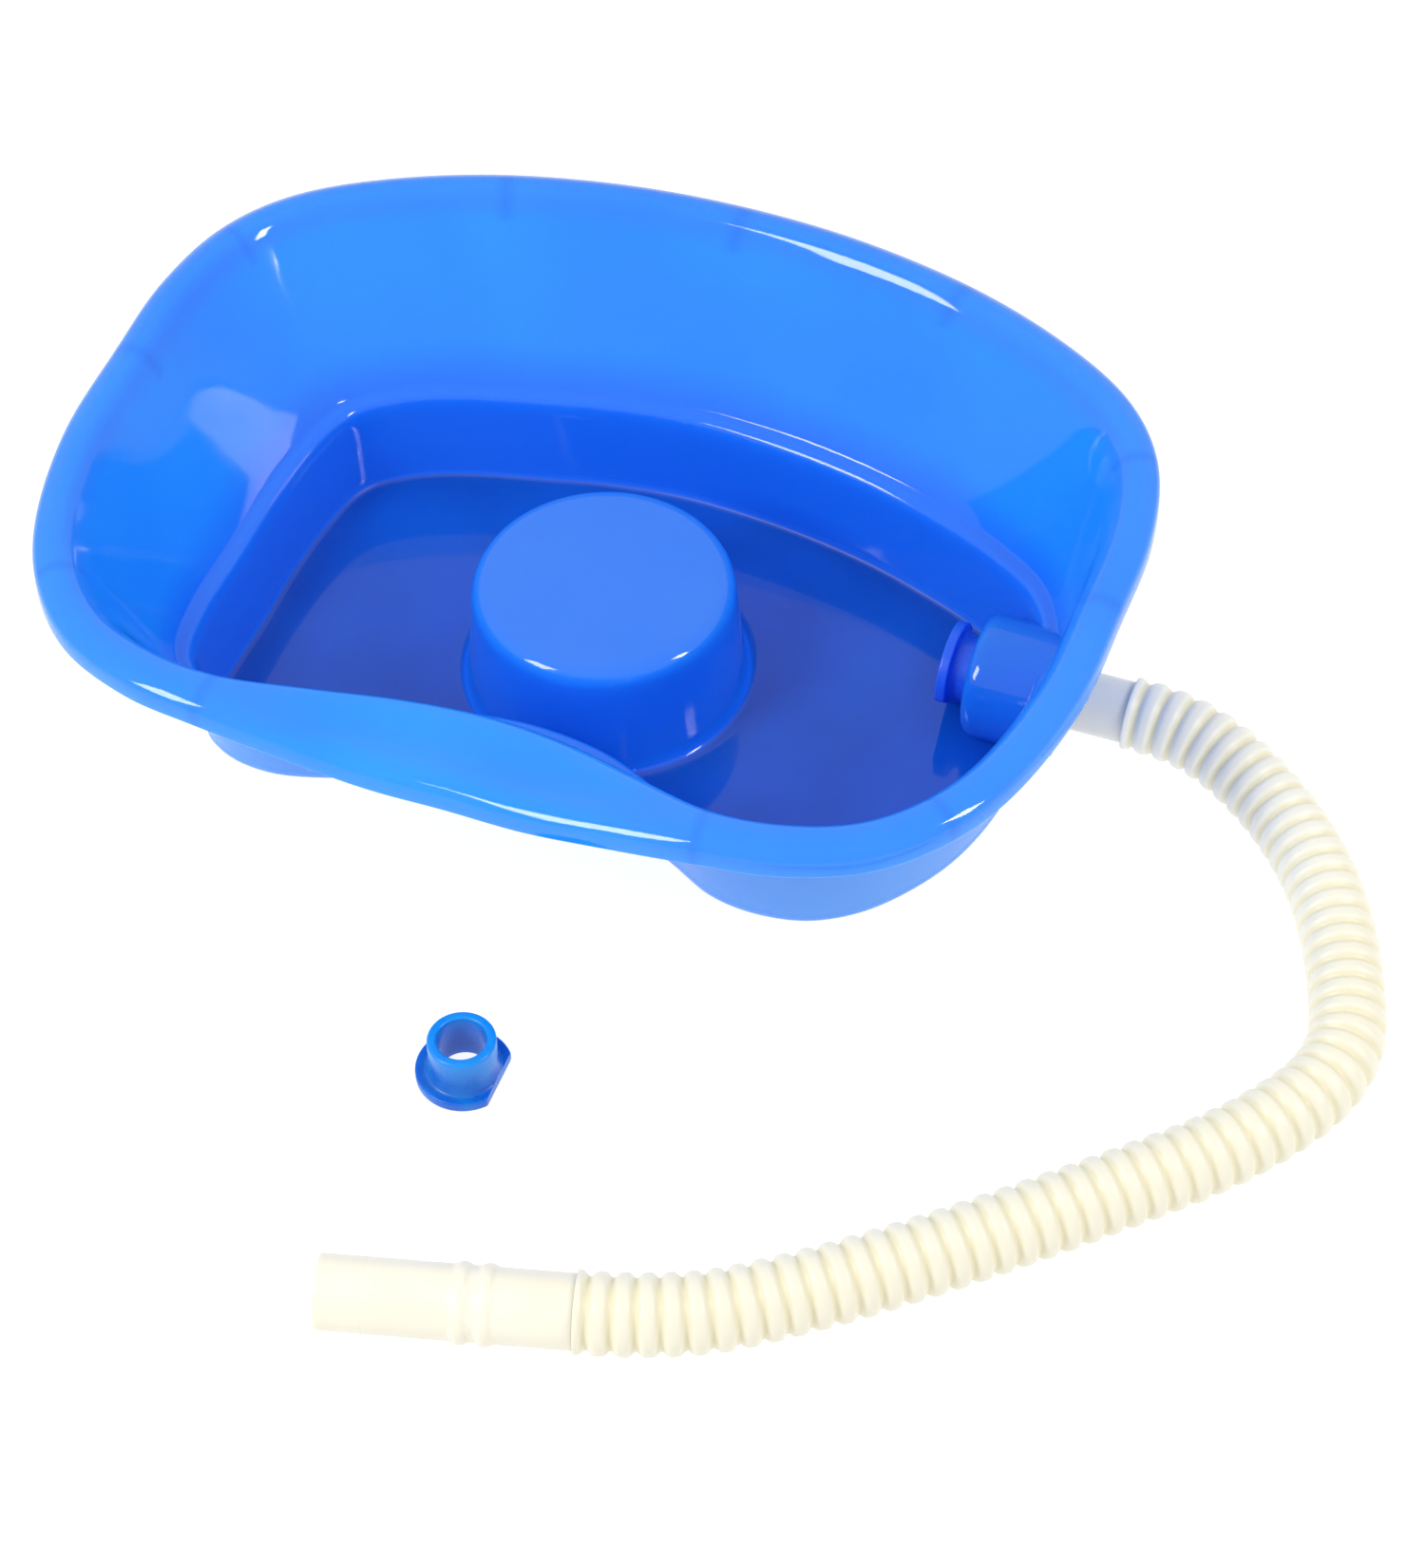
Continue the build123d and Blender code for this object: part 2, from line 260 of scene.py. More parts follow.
def valley_depth(turns):
    """0 on a crest and 1 in a valley: a cosine with its valley narrowed by a power."""
    return (0.5 - 0.5 * np.cos(2 * np.pi * turns)) ** 2.4


def sweep_frame(distance):
    """Points, sideways and upward directions at distances along the centreline: the side is
    the horizontal normal of the line, the up direction is normal to both."""
    place = np.stack([np.interp(distance, along, centreline[:, k]) for k in range(3)], axis=1)
    ahead = np.stack([np.interp(distance + 0.004, along, centreline[:, k]) for k in range(3)], axis=1)
    behind = np.stack([np.interp(distance - 0.004, along, centreline[:, k]) for k in range(3)], axis=1)
    tangent = ahead - behind
    tangent /= np.linalg.norm(tangent, axis=1, keepdims=True)
    side = np.cross(tangent, [0.0, 0.0, 1.0])
    side /= np.linalg.norm(side, axis=1, keepdims=True)
    return place, side, np.cross(side, tangent)


distance = np.linspace(0, hose_length, rib_count * STEPS_PER_RIB + 1)
share = distance / hose_length
depth = valley_depth(distance / hose_length * rib_count)
crest = CREST_R[0] + (CREST_R[1] - CREST_R[0]) * share
valley = VALLEY_R[0] + (VALLEY_R[1] - VALLEY_R[0]) * share
outer_r = (crest + (valley - crest) * depth) * MM
inner_r = outer_r - HOSE_WALL * MM
place, side, up = sweep_frame(distance)
angle = np.linspace(0, 2 * np.pi, 56, endpoint=False)
ring = np.cos(angle)[None, :, None] * up[:, None] + np.sin(angle)[None, :, None] * side[:, None]
outside = place[:, None] + outer_r[:, None, None] * ring
inside = place[::-1, None] + inner_r[::-1, None, None] * ring[::-1]
hose = skin("corrugated_hose", np.concatenate([outside, inside]), wrap_rows=True)
fix_outwards(hose)
point_attribute(hose, "groove", np.repeat(np.concatenate([depth, depth[::-1]]), len(angle)))
point_attribute(hose, "from_basin", np.repeat(np.concatenate([share, share[::-1]]), len(angle)))
print("hose", rib_count, "ribs")

# %% [markdown]
# ## Hose cuffs
# The inlet cuff is a smooth sleeve with a narrower spigot that goes into the rubber bush. The
# outlet cuff is a little wider, is open at its end, and has two raised beads that act as a stop.

# %% Cuffs: (radius, distance) profiles in mm and the rounding of each corner
DRAIN_Y = 30 + CENTRE_Y
DRAIN_Z = 26.5
INLET_START = 168.0
inlet_cuff = turned(
    "inlet_cuff",
    [(11.15, 0), (11.15, 20), (14.7, 20), (14.7, 82), (12.7, 82), (12.7, 22), (9.3, 22), (9.3, 0)],
    [0.6, 0.5, 0.8, 0.5, 0.5, 0.5, 0.5, 0.6], (INLET_START, DRAIN_Y, DRAIN_Z), (1, 0, 0))

last_run = np.subtract(HOSE_ROUTE[-1], HOSE_ROUTE[-2])
outlet_cuff = turned(
    "outlet_cuff",
    [(16.5, 0.0), (16.5, 34.3), (17.9, 36.6), (17.9, 39.4), (16.5, 41.7), (16.5, 45.3), (17.9, 47.6),
     (17.9, 50.4), (16.5, 52.7), (16.5, 89.4), (16.35, 89.9), (16.5, 90.4), (16.5, 111), (14.5, 111),
     (14.5, 0)],
    [0.5, 1.5, 1.4, 1.4, 1.5, 1.5, 1.4, 1.4, 1.5, 0.2, 0.2, 0.2, 0.8, 0.8, 0.5],
    np.array(HOSE_ROUTE[-1]) / MM, last_run, arc_steps=4)
for cuff in (inlet_cuff, outlet_cuff):
    fix_outwards(cuff)
    sharpen(cuff)

# %% [markdown]
# ## Basin
# The basin is one moulding about 2.5 mm thick. At each of 17 stations from the back to the
# front the wall section is the same list of points: over the support in the middle, across
# the floor, up the wall with its rounded ledge, over the rolled rim and back underneath. Smooth
# curves join the stations all round, and rounded corners join the rows, which gives a closed
# skin with an even gloss.

# %% Outlines of the basin, mm
RIM_TOP = 132.0
WALL = 2.5
FLOOR = 3.0
SKIRT = 14.0
LEDGE_TOP = 54.0
LEDGE_WIDTH = 9.0
DRAFT = 3.5
RIM_EDGE = [(0, 195), (60, 191), (120, 178), (172, 157), (213, 130), (238, 95), (249, 50),
            (250, 0), (249, -55), (238, -108), (220, -146), (192, -175), (155, -191),
            (118, -196), (78, -196), (38, -195), (0, -194)]
DRAIN_END_EDGE = [(0, 116), (48, 113), (92, 105), (130, 93), (161, 80), (188, 62), (203, 34),
                  (207, 0), (204, -36), (193, -70), (172, -101), (148, -119), (122, -125),
                  (96, -122), (70, -109), (37, -95), (0, -90)]
PLAIN_END_EDGE = [(0, 116), (42, 112), (82, 103), (116, 94), (143, 82), (161, 65), (169, 36),
                  (172, 0), (172, -38), (173, -76), (168, -104), (152, -118), (128, -122),
                  (101, -116), (70, -104), (37, -94), (0, -90)]
LIP_WIDTH = [21.0] * 10 + [22.0, 23.0, 24.0, 26.0, 38.0, 50.0, 53.0]
LIP_DIP = [0.0] * 13 + [1.0, 7.0, 13.0, 14.0]
LIP_DISH = [0.0] * 14 + [3.0, 6.0, 6.0]
HUMP_Y = -6.5
HUMP_TOP = 65.0
HUMP_TOP_R = 62.0
HUMP_BASE_R = 67.0
FINE = 9                 # columns for each station


# %% Smooth lines through the stations
def once_round(drain_side, plain_side):
    """Joins the two half outlines into one closed list of stations."""
    return np.concatenate([drain_side, plain_side[-2:0:-1]])


def smooth_round(stations):
    """Closed Catmull-Rom curve: between b and c it is b + t/2 (c - a + t (2a - 5b + 4c - d +
    t (3 (b - c) + d - a))), with a and d the neighbours."""
    a, b, c, d = (np.roll(stations, shift, axis=0) for shift in (1, 0, -1, -2))
    t = np.linspace(0, 1, FINE, endpoint=False).reshape(1, FINE, *[1] * (stations.ndim - 1))
    a, b, c, d = (x[:, None] for x in (a, b, c, d))
    fine = b + 0.5 * t * (c - a + t * (2 * a - 5 * b + 4 * c - d + t * (3 * (b - c) + d - a)))
    return fine.reshape(-1, *stations.shape[1:])


def outward(edge):
    """Unit normals that point outwards along a half outline, square to it at both ends."""
    step = np.zeros_like(edge)
    step[1:-1] = edge[2:] - edge[:-2]
    step[0] = (1, 0)
    step[-1] = (-1, 0)
    length = np.linalg.norm(step, axis=1, keepdims=True)
    return np.stack([-step[:, 1], step[:, 0]], axis=1) / length


def full_edge(drain_side, plain_side):
    """Points and normals of a closed outline; the plain half is mirrored to -X."""
    halves = [np.array(half, float) for half in (drain_side, plain_side)]
    normals = [outward(half) for half in halves]
    mirror = np.array([-1.0, 1.0])
    return (once_round(halves[0], halves[1] * mirror),
            once_round(normals[0], normals[1] * mirror))


rim_line, rim_normal = full_edge(RIM_EDGE, RIM_EDGE)
body_line, body_normal = full_edge(DRAIN_END_EDGE, PLAIN_END_EDGE)
lip_width, lip_dip, lip_dish = (once_round(np.array(v), np.array(v))
                                for v in (LIP_WIDTH, LIP_DIP, LIP_DISH))


def rim_row(inset, drop):
    """A row of the rim, inset from its outer edge and dropped from its top."""
    flat = rim_line - rim_normal * np.reshape(inset, (-1, 1))
    height = np.broadcast_to(RIM_TOP - lip_dip - drop, len(flat))
    return smooth_round(np.column_stack([flat, height]))


def body_row(outset, height):
    """A row of the lower body, moved out from the ledge line."""
    flat = body_line + body_normal * outset
    return smooth_round(np.column_stack([flat, np.full(len(flat), height)]))


floor_edge = body_row(-DRAFT - 6, FLOOR)
hump_angle = np.arctan2(floor_edge[:, 1] - HUMP_Y, floor_edge[:, 0])


def hump_row(radius, height):
    """A circle about the head support, with one point for each column."""
    return np.column_stack([radius * np.cos(hump_angle), HUMP_Y + radius * np.sin(hump_angle),
                            np.full(len(hump_angle), height)])


# %% Profile rows from the support's top round to its hollow underside
middle = 8 + (lip_width - 16) * 0.5
foot = hump_row(HUMP_BASE_R + 5, FLOOR)
profile = [
    (hump_row(4, HUMP_TOP), 0),
    (hump_row(30, HUMP_TOP), 0),
    (hump_row(HUMP_TOP_R, HUMP_TOP), 9),
    (hump_row(HUMP_BASE_R, FLOOR), 7),
    (foot * 0.72 + floor_edge * 0.28, 0),
    (body_row(1 - DRAFT - 0.6, FLOOR), 3.5),
    (body_row(0.3, LEDGE_TOP - 0.8), 9.5),
    (body_row(LEDGE_WIDTH, LEDGE_TOP), 1.5),
    (rim_row(lip_width + 1.5, 9.5), 9),
    (rim_row(lip_width - 4.5, 0.9 + lip_dish * 0.5), 9),
    (rim_row(middle, -0.6 + lip_dish), 12),
    (rim_row(6.2, 0.3), 9),
    (rim_row(0.5, 3.8), 8),
    (rim_row(-0.1, 9.0), 5),
    (rim_row(0, SKIRT), 1),
    (rim_row(WALL, SKIRT), 1),
    (rim_row(WALL, 7.6), 4),
    (rim_row(4.4, 4.0), 3),
    (rim_row(8.5, WALL), 3),
    (rim_row(middle, WALL + 0.2 + lip_dish), 6),
    (rim_row(lip_width - 6.2, 1.4 + WALL + lip_dish * 0.5), 4),
    (rim_row(lip_width - 1.2, 11), 6),
    (body_row(LEDGE_WIDTH + 2.0, LEDGE_TOP - 2.4), 2),
    (body_row(WALL + 0.3, LEDGE_TOP - 3.4), 9),
    (body_row(WALL - DRAFT + 0.5, 0), 4),
    (hump_row(HUMP_BASE_R - 1, 0), 3),
    (hump_row(HUMP_TOP_R - WALL, HUMP_TOP - WALL), 7),
    (hump_row(30, HUMP_TOP - WALL), 0),
    (hump_row(4, HUMP_TOP - WALL), 0),
]
profile_rows = np.stack([row for row, _ in profile]) + [0, CENTRE_Y, 0]
basin_grid = rounded(profile_rows * MM, [radius for _, radius in profile])
basin = skin("shampoo_basin", basin_grid)
fix_outwards(basin)
print("basin grid", basin_grid.shape)

# %% [markdown]
# ## Drain cup and rim ribs
# A cup stands into the basin at the drain end and carries the bush, and small gussets stiffen
# the rim from below. They are joined to the skin with Boolean modifiers, because they cross it
# at an angle that no grid column follows; the opening behind the cup is cut the same way.

# %% Cup, opening and gussets
DRAIN_AXIS = (0.0, DRAIN_Y, DRAIN_Z)
CUP_FACE_X = 174.0
CUP_BACK_X = 217.0       # just outside the wall
CUP_MOUTH_X = 233.0      # how far the opening is cut
CUP_R = 30.0
CUP_LOWEST = 0.4
INNER_R = 2.0            # turned solids close on a small disc about their axis
BUSH_HOLE_R = 15.65
RIB_THICK = 2.0
RIB_STATIONS = [0, 2, 5, 7, 10, 13]
rib_columns = np.array(RIB_STATIONS + [len(rim_line) - i for i in RIB_STATIONS if i > 0])


def drain_solid(name, profile, radii, lowest):
    """A turned solid about the drain axis, flattened where it would go below a height."""
    piece = turned(name, profile, radii, DRAIN_AXIS, (1, 0, 0), closed=False, around=128)
    points = mesh_points(piece.data)
    points[:, 2] = np.maximum(points[:, 2], lowest * MM)
    piece.data.vertices.foreach_set("co", points.astype(np.float32).ravel())
    fix_outwards(piece)
    return piece


def disc_profile(radius, start, end):
    """The (radius, x) corners of a round bar about the drain axis."""
    return [(INNER_R, start), (radius, start), (radius, end), (INNER_R, end)]


cup = drain_solid("cup", disc_profile(CUP_R, CUP_FACE_X, CUP_BACK_X), [0, 7, 0, 0], CUP_LOWEST)
opening = drain_solid("opening", disc_profile(CUP_R - WALL, CUP_FACE_X + 3, CUP_MOUTH_X),
                      [0, 3, 0, 0], WALL)
bush_hole = drain_solid("bush_hole", disc_profile(BUSH_HOLE_R, CUP_FACE_X - 6, CUP_FACE_X + 6),
                        [0, 0, 0, 0], 0)


def gussets():
    """Thin plates between skirt and wall: one outline (inset, drop), carried to each station
    and given its thickness along the rim."""
    width = lip_width[rib_columns][:, None]
    one = np.ones_like(width)
    inset = np.hstack([one * 1.2, one * 1.2, one * 3.8, one * 8.2,
                       width - 6.3, width - 0.4, width + 1.6])
    drop = np.array([SKIRT - 1, 7.5, 3.2, 1.2, 2.4, 8.0, SKIRT - 1])
    normal = rim_normal[rib_columns][:, None]
    flat = rim_line[rib_columns][:, None] - normal * inset[..., None]
    height = RIM_TOP - lip_dip[rib_columns][:, None] - drop
    outline = np.concatenate([flat, height[..., None]], axis=-1)
    level = np.zeros_like(normal[..., :1])
    half = np.concatenate([-normal[..., 1:], normal[..., :1], level], axis=-1) * RIB_THICK / 2
    sides = np.concatenate([outline - half, outline + half], axis=1)
    count = outline.shape[1]
    start = (np.arange(len(rib_columns)) * 2 * count)[:, None]
    k = np.arange(count)
    k_next = (k + 1) % count
    walls = np.stack([k, k_next, count + k_next, count + k], axis=-1).ravel()
    loops = np.hstack([start + k, start + count + k[::-1], start + walls])
    sizes = np.tile([count, count] + [4] * count, len(rib_columns))
    points = (sides.reshape(-1, 3) + [0, CENTRE_Y, 0]) * MM
    piece = mesh_object("gussets", points, loops.ravel(), sizes)
    fix_outwards(piece)
    return piece


def combine(piece, other, operation):
    """Joins or cuts with a Boolean modifier, keeps its result as the mesh, drops the tool."""
    modifier = piece.modifiers.new(operation, "BOOLEAN")
    modifier.operation = operation
    modifier.solver = "MANIFOLD"
    modifier.object = other
    bpy.context.view_layer.update()
    evaluated = piece.evaluated_get(bpy.context.evaluated_depsgraph_get())
    made = bpy.data.meshes.new_from_object(evaluated)
    piece.modifiers.clear()
    piece.data = made
    bpy.data.objects.remove(other)


combine(basin, gussets(), "UNION")
combine(basin, cup, "UNION")
combine(basin, opening, "DIFFERENCE")
combine(basin, bush_hole, "DIFFERENCE")
basin.data.shade_smooth()
sharpen(basin)
print("basin", len(basin.data.polygons), "faces")

# %% [markdown]
# ## Drain bushes
# Both bushes are the same rubber moulding: a short thick tube with a wide flange that is cut
# flat on one side. A turned profile gives the tube, and the flat is a limit on how far the
# surface may reach on that side.

# %% Two bushes
BUSH_PROFILE = [(11.2, 0), (22, 0), (22, 5), (17.2, 5), (16.1, 8.0), (15.6, 12), (15.6, 25),
                (11.2, 25)]
BUSH_RADII = [0.6, 1.1, 1.1, 1.5, 3, 4, 1.6, 1.4]
BUSH_FLAT = 16.8


def drain_bush(name, origin, axis, flat_at):
    """A bush with its flange at the origin; the angle says which side is cut flat."""
    piece = turned(name, BUSH_PROFILE, BUSH_RADII, origin, axis, around=144, flat=BUSH_FLAT,
                   flat_at=flat_at)
    fix_outwards(piece)
    sharpen(piece, 50)
    return piece


fitted_bush = drain_bush("fitted_bush", (160.0, DRAIN_Y, DRAIN_Z), (1, 0, 0), math.radians(135))
loose_bush = drain_bush("loose_bush", (28.0, -253.0 + CENTRE_Y, 0.0), (0, 0, 1), 0.0)
for bush in (fitted_bush, loose_bush):
    points = mesh_points(bush.data)
    print(bush.name, points.min(0).round(4), points.max(0).round(4))

# %% [markdown]
# ## Materials
# Node trees are written as sums: the class below wraps a socket, so that a line of ordinary
# maths adds the Math nodes.


# %% Sockets as numbers
class Value:
    """A node socket that can be added, subtracted and multiplied."""

    def __init__(self, tree, socket):
        self.tree = tree
        self.socket = socket

    def node(self, kind, settings=None, output=0, **inputs):
        """Adds a node: settings first, then values or links for its named sockets."""
        made = self.tree.nodes.new(kind)
        for key, value in (settings or {}).items():
            setattr(made, key, value)
        for key, value in inputs.items():
            wanted = int(key[1:]) if key[0] == "_" else key.replace("_", " ")
            socket = made.inputs[wanted]
            if isinstance(value, Value):
                self.tree.links.new(value.socket, socket)
            else:
                socket.default_value = value
        return Value(self.tree, made.outputs[output])

    def math(self, operation, a, b):
        return self.node("ShaderNodeMath", {"operation": operation}, _0=a, _1=b)

    def __add__(self, other):
        return self.math("ADD", self, other)

    def __sub__(self, other):
        return self.math("SUBTRACT", self, other)

    def __rsub__(self, other):
        return self.math("SUBTRACT", other, self)

    def __mul__(self, other):
        return self.math("MULTIPLY", self, other)

    __radd__ = __add__
    __rmul__ = __mul__

    def mix(self, low, high):
        """The colour low where this value is 0 and high where it is 1."""
        return self.node("ShaderNodeMix", {"data_type": "RGBA"}, 2, _0=self, _6=low, _7=high)

    def step(self, start, end):
        """0 before start, 1 after end, smooth between them."""
        return self.node("ShaderNodeMapRange", {"interpolation_type": "SMOOTHSTEP"},
                         Value=self, From_Min=start, From_Max=end)


def material(name, **constants):
    """A material with a Principled shader; returns it, its shader and a Value to start from."""
    made = bpy.data.materials.new(name)
    made.use_nodes = True
    tree = made.node_tree
    shader = tree.nodes["Principled BSDF"]
    for key, value in constants.items():
        shader.inputs[key.replace("_", " ")].default_value = value
    place = tree.nodes.new("ShaderNodeTexCoord")
    return made, shader, Value(tree, place.outputs["Object"])


def noise(place, scale, detail=3.0, roughness=0.5):
    return place.node("ShaderNodeTexNoise", Vector=place, Scale=scale, Detail=detail,
                      Roughness=roughness)


def feed(shader, name, value):
    value.tree.links.new(value.socket, shader.inputs[name])


def bump(shader, height, strength, depth):
    feed(shader, "Normal", height.node("ShaderNodeBump", Height=height, Strength=strength,
                                       Distance=depth))


def finish_piece(piece, made, body, node):
    """Gives the piece its material and the body it rides on, and hides the CAD node it stands for."""
    piece.data.materials.clear()
    piece.data.materials.append(made)
    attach(piece, body)
    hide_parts(node)


# %% [markdown]
# ### Blue polypropylene
# The basin is a glossy, slightly translucent blue. Light that enters the thin wall comes out
# again elsewhere, so the upper wall glows and the low, thick or shaded parts turn deep blue; the
# colours paint this in as a painted glow on the upper wall and the outside below the rim, and as
# painted shade on the low wall and the floor. The gussets below the rim show through as faint
# darker marks of painted shade.

# %% Painted shade marks where the gussets show through: a bell curve across each, under the rim only
MARK_WIDTH = 0.0011
MARK_REACH = 0.024       # inwards from the edge of the rim
MARK_LOWEST = 0.112
points = mesh_points(basin.data)
outer = (rim_line[rib_columns] + [0, CENTRE_Y]) * MM
rib_normal = rim_normal[rib_columns]
offset = points[:, None, :2] - outer[None]
beside = np.abs(offset[..., 1] * rib_normal[:, 0] - offset[..., 0] * rib_normal[:, 1])
inward = -(offset * rib_normal).sum(-1)
near = np.exp(-(beside / MARK_WIDTH) ** 2) * (inward > -0.003) * (inward < MARK_REACH)
point_attribute(basin, "gusset_shade", near.max(1) * (points[:, 2] > MARK_LOWEST))

# %% The outside of the wall, below the rim: where the painted backlight glow goes
flat_points = points[:, :2] / MM - [0, CENTRE_Y]
point_angle = np.arctan2(flat_points[:, 1], flat_points[:, 0])
point_reach = np.hypot(flat_points[:, 0], flat_points[:, 1])


def reach_of(line):
    """How far a closed outline is from its middle, in the direction of each basin point."""
    fine_line = smooth_round(line)
    order = np.argsort(np.arctan2(fine_line[:, 1], fine_line[:, 0]))
    fine_line = fine_line[order]
    return np.interp(point_angle, np.arctan2(fine_line[:, 1], fine_line[:, 0]),
                     np.hypot(fine_line[:, 0], fine_line[:, 1]), period=2 * np.pi)


normals = np.zeros(len(points) * 3, np.float32)
basin.data.vertex_normals.foreach_get("vector", normals)
normals = normals.reshape(-1, 3)
facing_out = ((normals[:, :2] * flat_points).sum(1) > 0) & (normals[:, 2] < 0.3)
past_floor = point_reach > reach_of(body_line) - 5
under_rim = (point_reach < reach_of(rim_line) - 6) & (points[:, 2] < 0.122)
point_attribute(basin, "outside", facing_out & past_floor & under_rim)
print("outside", int((facing_out & past_floor & under_rim).sum()), "of", len(points), "points")

# %% Basin plastic: first the masks, then the colours from the wall to the gusset marks, painted glow and painted shade among them
SHADED_LOW_WALL = (0.014, 0.18, 0.86, 1)
GLOWING_HIGH_WALL = (0.018, 0.29, 1.0, 1)
SUPPORT_BLUE = (0.035, 0.20, 0.80, 1)
RIM_BLUE = (0.035, 0.235, 0.95, 1)
SHADED_FLOOR_BLUE = (0.004, 0.080, 0.40, 1)
CLOUD_BLUE = (0.006, 0.17, 0.85, 1)
LIT_OUTSIDE = (0.085, 0.31, 0.90, 1)
GUSSET_SHADE_BLUE = (0.004, 0.09, 0.7, 1)
SUPPORT_MIDDLE = (0, (HUMP_Y + CENTRE_Y) * MM, HUMP_TOP * MM)

blue, blue_shader, place = material(
    "blue_polypropylene", IOR=1.5, Subsurface_Weight=0.35, Subsurface_Radius=(0.15, 0.6, 1.6),
    Subsurface_Scale=0.012)
height = place.node("ShaderNodeSeparateXYZ", {}, 2, _0=place)
gusset_shade = place.node("ShaderNodeAttribute", {"attribute_name": "gusset_shade"}, 2)
backlit_outside_wall = place.node("ShaderNodeAttribute", {"attribute_name": "outside"}, 2)
from_support = place.node("ShaderNodeVectorMath", {"operation": "DISTANCE"}, 1, _0=place,
                          _1=SUPPORT_MIDDLE)
clouds = noise(place, 9.0, 2.0).step(0.35, 0.7)
on_support = (1 - from_support.step(0.056, 0.066)) * height.step(0.060, 0.0645)
above_floor = height.step(0.0031, 0.0040) * (1 - height.step(0.006, 0.009))
floor_corner = above_floor * from_support.step(0.096, 0.100)

# painted light: the wall darkens towards the bottom as painted shade and lightens above as a painted
# glow
tone = height.step(0.050, 0.075).mix(SHADED_LOW_WALL, GLOWING_HIGH_WALL)
tone = on_support.mix(tone, SUPPORT_BLUE)
tone = (height.step(0.118, 0.128) * 0.6).mix(tone, RIM_BLUE)
# painted shade: the floor of the basin, and the underside below it, a much darker blue
tone = height.step(0.0032, 0.0052).mix(SHADED_FLOOR_BLUE, tone)
tone = (clouds * 0.25).mix(tone, CLOUD_BLUE)
# painted light: the outer lobes below the rim glow as if lit through the wall from behind
tone = backlit_outside_wall.mix(tone, LIT_OUTSIDE)
# painted shade: faint darker marks where the gussets block light behind the rim
tone = (gusset_shade * 0.22).mix(tone, GUSSET_SHADE_BLUE)
feed(blue_shader, "Base Color", tone)
feed(blue_shader, "Roughness", noise(place, 60.0, 3.0) * 0.03 + floor_corner * 0.35 + 0.045)
bump(blue_shader, noise(place, 14.0, 2.0), 0.12, 0.0012)

# %% [markdown]
# ### Blue rubber, cream polyethylene
# The loose bush is a clear blue rubber with a satin skin and cloudy variation, the fitted one a
# deeper blue, the same rubber with painted shade for its place in the basin; both darken towards
# the floor as painted shade. The hose and cuffs are cream polyethylene: yellower in the valleys
# between the ribs as painted shade, whiter on the crests as painted light, and a cooler white near
# the basin, painted light that lifts the basin's shade and carries its blue bounce.


# %% Rubber of the bushes
def rubber(name, low, high, cloudy):
    """Satin rubber: a colour at the floor, one at the height of the loose bush, and cloud; the darker
    colour at the floor is painted shade.
    """
    made, shader, place = material(name, IOR=1.45, Subsurface_Weight=0.45,
                                   Subsurface_Radius=(0.1, 0.7, 1.2), Subsurface_Scale=0.006)
    height = place.node("ShaderNodeSeparateXYZ", {}, 2, _0=place)
    cloud = noise(place, 70.0, 4.0).step(0.3, 0.75)
    # painted shade: darker towards the floor
    tone = height.step(0.004, 0.034).mix(low, high)
    feed(shader, "Base Color", (cloud * 0.3).mix(tone, cloudy))
    feed(shader, "Roughness", cloud * 0.12 + 0.24)
    bump(shader, noise(place, 160.0, 3.0), 0.12, 0.0006)
    return made


clear_rubber = rubber("blue_rubber", (0.0, 0.10, 0.55, 1), (0.0, 0.28, 0.80, 1),
                      (0.01, 0.34, 0.75, 1))
# painted shade: a darker copy of the same rubber for the fitted bush
shaded_rubber = rubber("shaded_blue_rubber", (0.0, 0.045, 0.40, 1), (0.02, 0.13, 0.80, 1),
                     (0.03, 0.15, 0.75, 1))

# %% Polyethylene of the hose and its cuffs
cream, cream_shader, place = material(
    "cream_polyethylene_hose", IOR=1.5, Subsurface_Weight=0.25, Subsurface_Radius=(1.0, 0.9, 0.7),
    Subsurface_Scale=0.004)
groove = place.node("ShaderNodeAttribute", {"attribute_name": "groove"}, 2)
from_basin = place.node("ShaderNodeAttribute", {"attribute_name": "from_basin"}, 2)
# painted light: whiter near the basin, lifting the shade the basin casts on the hose
tone = from_basin.step(0.0, 0.35).mix((0.99, 0.97, 0.86, 1), (0.92, 0.87, 0.68, 1))
# painted shade in the valleys between the ribs; the lighter crests are painted light
tone = (groove.step(0.25, 0.8) * 0.7).mix(tone, (0.88, 0.80, 0.52, 1))
feed(cream_shader, "Base Color", tone)
feed(cream_shader, "Roughness", noise(place, 90.0, 3.0) * 0.12 + 0.30)
bump(cream_shader, noise(place, 220.0, 3.0), 0.10, 0.0004)


def cuff_plastic(name, colour, shade):
    """Smooth polyethylene with faint clouding and fine moulding texture."""
    made, shader, place = material(name, IOR=1.5, Subsurface_Weight=0.25,
                                   Subsurface_Radius=(1.0, 0.9, 0.7), Subsurface_Scale=0.004)
    feed(shader, "Base Color", noise(place, 30.0, 3.0).step(0.3, 0.7).mix(colour, shade))
    feed(shader, "Roughness", noise(place, 80.0, 3.0) * 0.1 + 0.30)
    bump(shader, noise(place, 200.0, 2.0), 0.08, 0.0004)
    return made


# painted shade and blue bounce light from the basin: a cooler, darker copy of the cuff polyethylene
# for the inlet cuff
bounce_tinted_cuff = cuff_plastic("bounce_tinted_polyethylene", (0.86, 0.84, 0.76, 1), (0.90, 0.88, 0.78, 1))
warm_cream = cuff_plastic("cream_polyethylene_cuff", (0.90, 0.86, 0.72, 1), (0.88, 0.83, 0.67, 1))
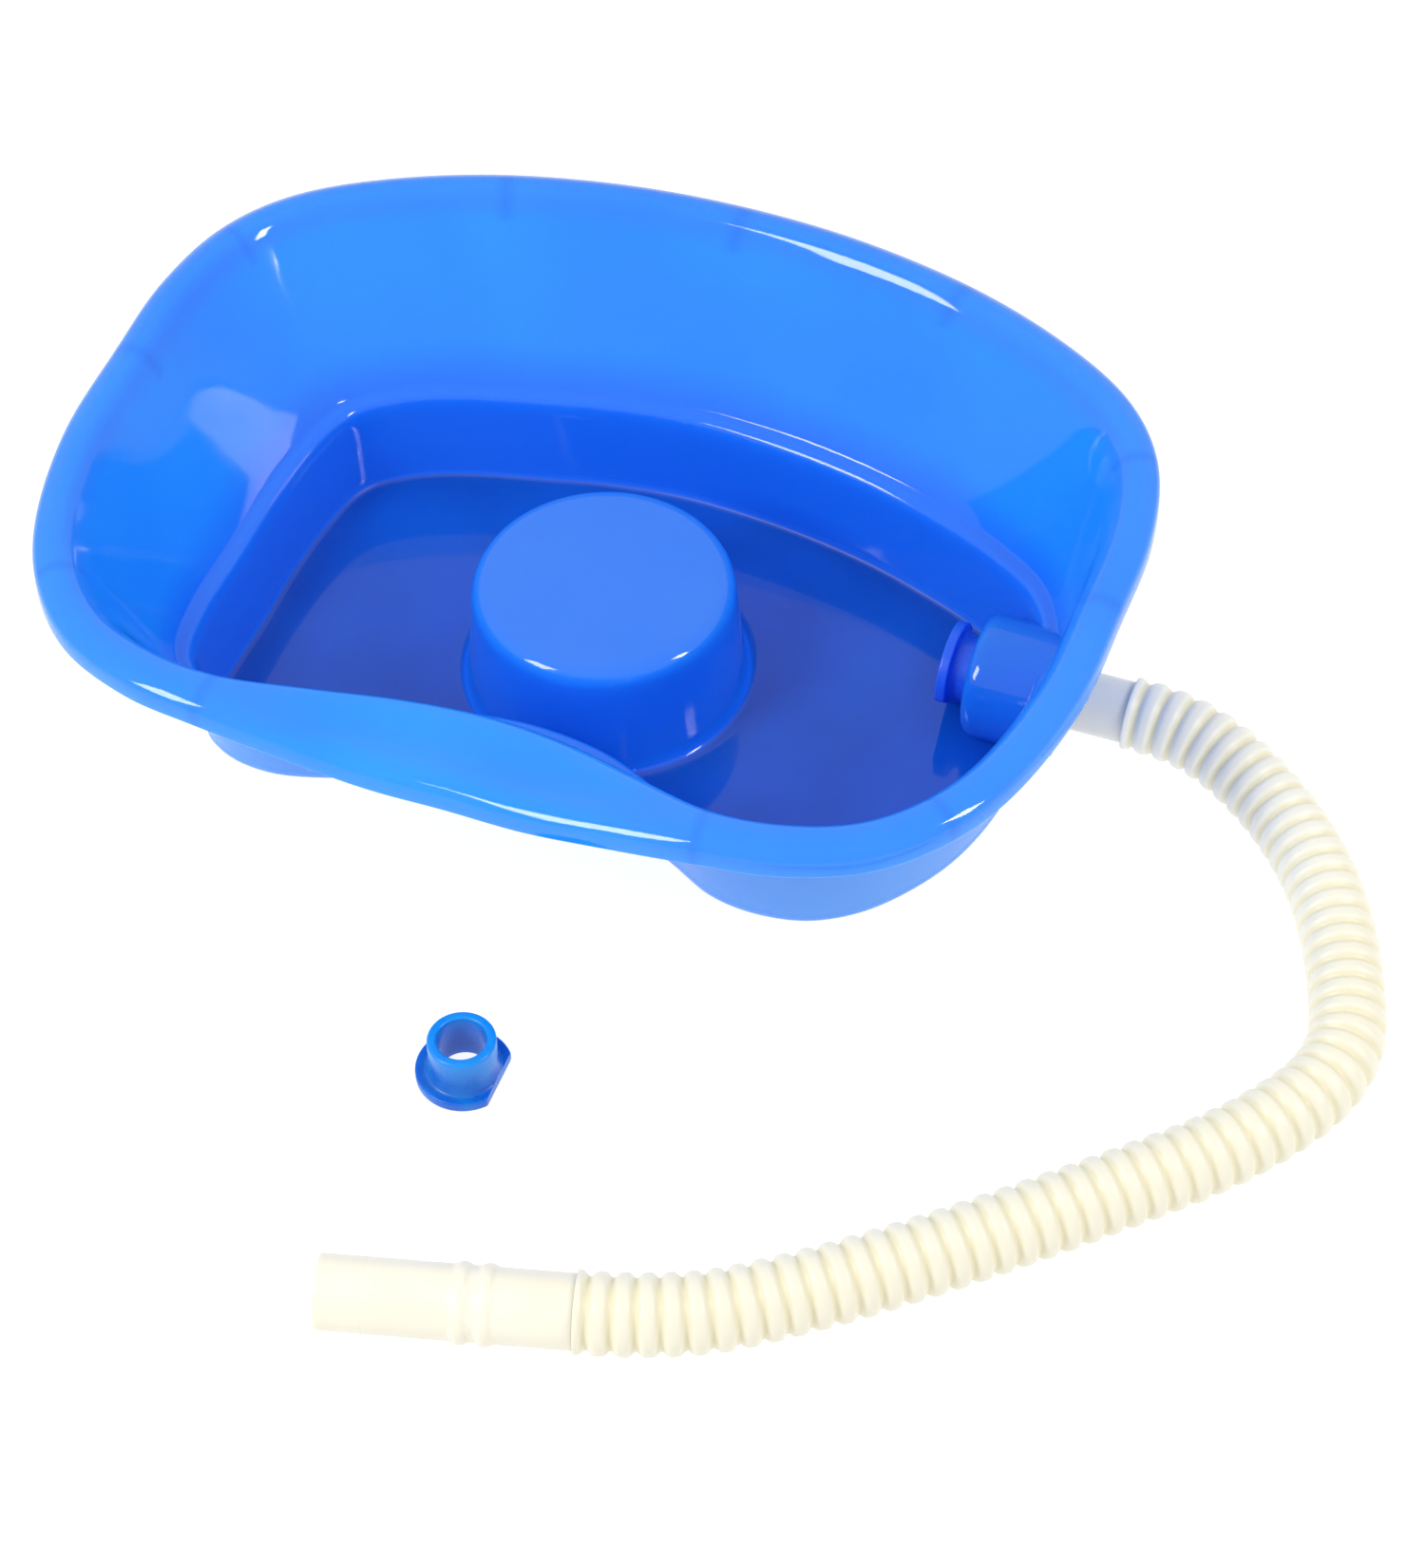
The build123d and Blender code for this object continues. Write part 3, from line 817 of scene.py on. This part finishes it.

# %% Give each piece its material and body, and hide its CAD node
finish_piece(basin, blue, "basin", "basin_shell")
finish_piece(fitted_bush, shaded_rubber, "fitted_bush", "drain_bush")
finish_piece(loose_bush, clear_rubber, "loose_bush", "spare_drain_bush")
finish_piece(hose, cream, "hose", "drain_hose")
finish_piece(inlet_cuff, bounce_tinted_cuff, "hose", "hose_inlet_cuff")
finish_piece(outlet_cuff, warm_cream, "hose", "hose_outlet_cuff")

# %% [markdown]
# ## Floor and light
# A plain pale floor, a bright even surround, and two softboxes whose reflections draw the thin
# highlights along the rim and the edge of the head support. The floor glows a little, as paper
# lit from below does, so it stays almost white and free of coloured shadows.

# %% Floor
FLOOR_GLOW = 0.9
floor_points = np.array([(-4, -4, 0), (4, -4, 0), (4, 4, 0), (-4, 4, 0)], float)
floor = mesh_object("floor", floor_points, np.arange(4), np.array([4]))
floor_paint = bpy.data.materials.new("pale_floor")
floor_paint.use_nodes = True
paint = floor_paint.node_tree.nodes["Principled BSDF"]
paint.inputs["Base Color"].default_value = (0.2, 0.2, 0.2, 1)
paint.inputs["Emission Color"].default_value = (1, 1, 1, 1)
paint.inputs["Emission Strength"].default_value = FLOOR_GLOW
paint.inputs["Roughness"].default_value = 0.9
paint.inputs["Specular IOR Level"].default_value = 0.1
floor.data.materials.append(floor_paint)

# %% Surround and softboxes
SOFTBOX_AIM = (0.0, 0.0, 0.05)
world = bpy.data.worlds.new("studio")
world.use_nodes = True
surround = world.node_tree.nodes["Background"]
surround.inputs["Color"].default_value = (1, 1, 1, 1)
surround.inputs["Strength"].default_value = 0.70
bpy.context.scene.world = world


def softbox(name, place, size, power):
    """A rectangular area light at a place, turned to face the basin."""
    light = bpy.data.lights.new(name, "AREA")
    light.shape = "RECTANGLE"
    light.size, light.size_y = size
    light.energy = power
    lamp = bpy.data.objects.new(name, light)
    bpy.context.scene.collection.objects.link(lamp)
    lamp.location = place
    lamp.rotation_mode = "QUATERNION"
    lamp.rotation_quaternion = (Vector(SOFTBOX_AIM) - Vector(place)).to_track_quat("-Z", "Y")
    return lamp


softbox("left_softbox", (-0.86, -1.08, 1.31), (0.5, 0.8), 17)
softbox("right_softbox", (1.46, 0.0, 1.22), (0.22, 0.6), 9)
bpy.context.scene.view_settings.view_transform = "Standard"
